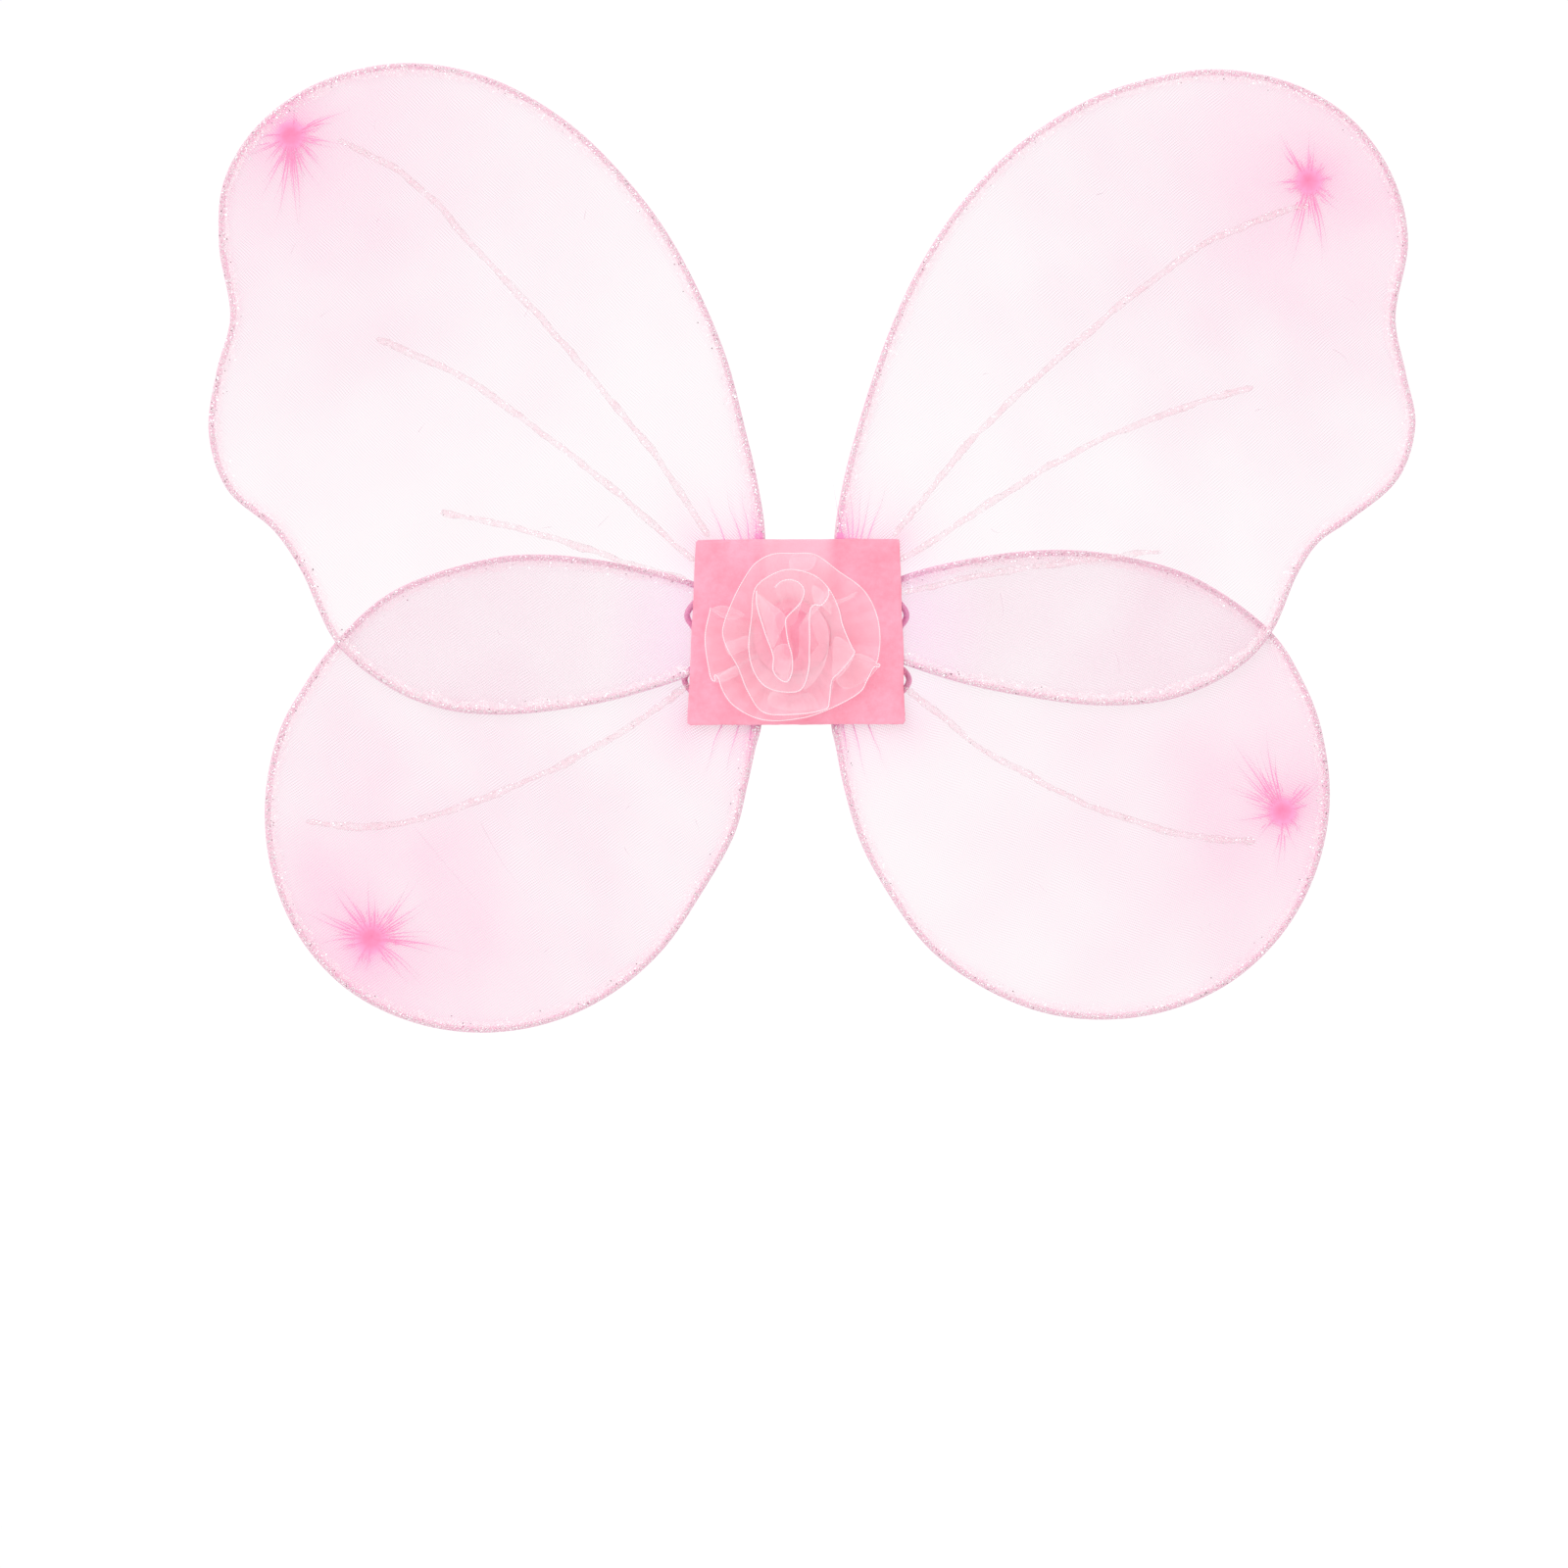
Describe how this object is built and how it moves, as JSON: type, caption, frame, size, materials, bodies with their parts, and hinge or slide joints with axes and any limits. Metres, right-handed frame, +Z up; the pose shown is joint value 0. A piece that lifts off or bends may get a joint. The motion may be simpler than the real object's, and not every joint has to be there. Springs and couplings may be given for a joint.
{
  "type": "fairy wings",
  "caption": "Child's costume butterfly wings: wire loops in sheer pink net, held by a felt pad with an organza rosette in front and elastic shoulder straps behind.",
  "frame": {"origin": "middle of the back face of the rear felt pad, which rests between the wearer's shoulder blades", "axes": "+Z up as worn, +X to the right seen from the rosette side, +Y towards the wearer; the rosette faces -Y"},
  "size_m": [0.4598, 0.0362, 0.3696],
  "materials": {
    "felt": "dyed craft felt, matt and slightly fuzzy",
    "wrapped_wire": "steel wire in a pink wrap, under the net's glittered edge",
    "net": "fine sheer knitted nylon net, two layers",
    "gathered_net": "net bunched and bound",
    "glitter": "glitter glue, pink with silver flakes",
    "organza": "sheer crisp organza ribbon with a white overlocked edge",
    "elastic": "round braided elastic cord, dusty pink",
    "tie": "narrow white woven tape"
  },
  "bodies": {
    "core": {"front_pad_centre": "felt", "rear_pad_centre": "felt", "rosette_backing": "organza", "rosette_outer_ruffle": "organza", "rosette_middle_ruffle": "organza", "rosette_bud": "organza"},
    "upper_left_wing": {"upper_left_wire_loop": "wrapped_wire", "upper_left_net_panel": "net", "upper_left_glitter_vein_1": "glitter", "upper_left_glitter_vein_2": "glitter", "upper_left_glitter_vein_3": "glitter", "upper_left_gather_knot": "gathered_net"},
    "lower_left_wing": {"lower_left_wire_loop": "wrapped_wire", "lower_left_net_panel": "net", "lower_left_glitter_vein": "glitter", "lower_left_gather_knot": "gathered_net"},
    "left_side": {"front_pad_left": "felt", "rear_pad_left": "felt", "upper_left_wire_tail": "wrapped_wire", "upper_left_net_root": "net", "lower_left_wire_tail": "wrapped_wire", "lower_left_net_root": "net", "left_strap_upper_lead": "elastic", "left_strap_lower_lead": "elastic", "left_strap_hank": "elastic", "left_strap_tie": "tie"},
    "upper_right_wing": {"upper_right_wire_loop": "wrapped_wire", "upper_right_net_panel": "net", "upper_right_glitter_vein_1": "glitter", "upper_right_glitter_vein_2": "glitter", "upper_right_glitter_vein_3": "glitter", "upper_right_gather_knot": "gathered_net"},
    "lower_right_wing": {"lower_right_wire_loop": "wrapped_wire", "lower_right_net_panel": "net", "lower_right_glitter_vein": "glitter", "lower_right_gather_knot": "gathered_net"},
    "right_side": {"front_pad_right": "felt", "rear_pad_right": "felt", "upper_right_wire_tail": "wrapped_wire", "upper_right_net_root": "net", "lower_right_wire_tail": "wrapped_wire", "lower_right_net_root": "net", "right_strap_upper_lead": "elastic", "right_strap_lower_lead": "elastic", "right_strap_hank": "elastic", "right_strap_tie": "tie"}
  },
  "joints": [
    {"name": "left_fold", "type": "hinge", "parent": "core", "child": "left_side", "pos_m": [-0.0105, 0.0004, 0], "axis": [0, 0, -1], "range_deg": [0, 70]},
    {"name": "right_fold", "type": "hinge", "parent": "core", "child": "right_side", "pos_m": [0.0105, 0.0004, 0], "axis": [0, 0, 1], "range_deg": [0, 70]},
    {"name": "upper_left_bend", "type": "hinge", "parent": "left_side", "child": "upper_left_wing", "pos_m": [-0.05075, -0.0069, 0.0235], "axis": [0.5012, 0, 0.8653], "range_deg": [0, 35]},
    {"name": "upper_right_bend", "type": "hinge", "parent": "right_side", "child": "upper_right_wing", "pos_m": [0.05125, -0.0069, 0.02475], "axis": [0.5119, 0, -0.8591], "range_deg": [0, 35]},
    {"name": "lower_left_bend", "type": "hinge", "parent": "left_side", "child": "lower_left_wing", "pos_m": [-0.05375, -0.0042, -0.024], "axis": [0.4992, 0, -0.8665], "range_deg": [0, 18]},
    {"name": "lower_right_bend", "type": "hinge", "parent": "right_side", "child": "lower_right_wing", "pos_m": [0.05315, -0.0042, -0.02325], "axis": [0.4978, 0, 0.8673], "range_deg": [0, 18]}
  ]
}
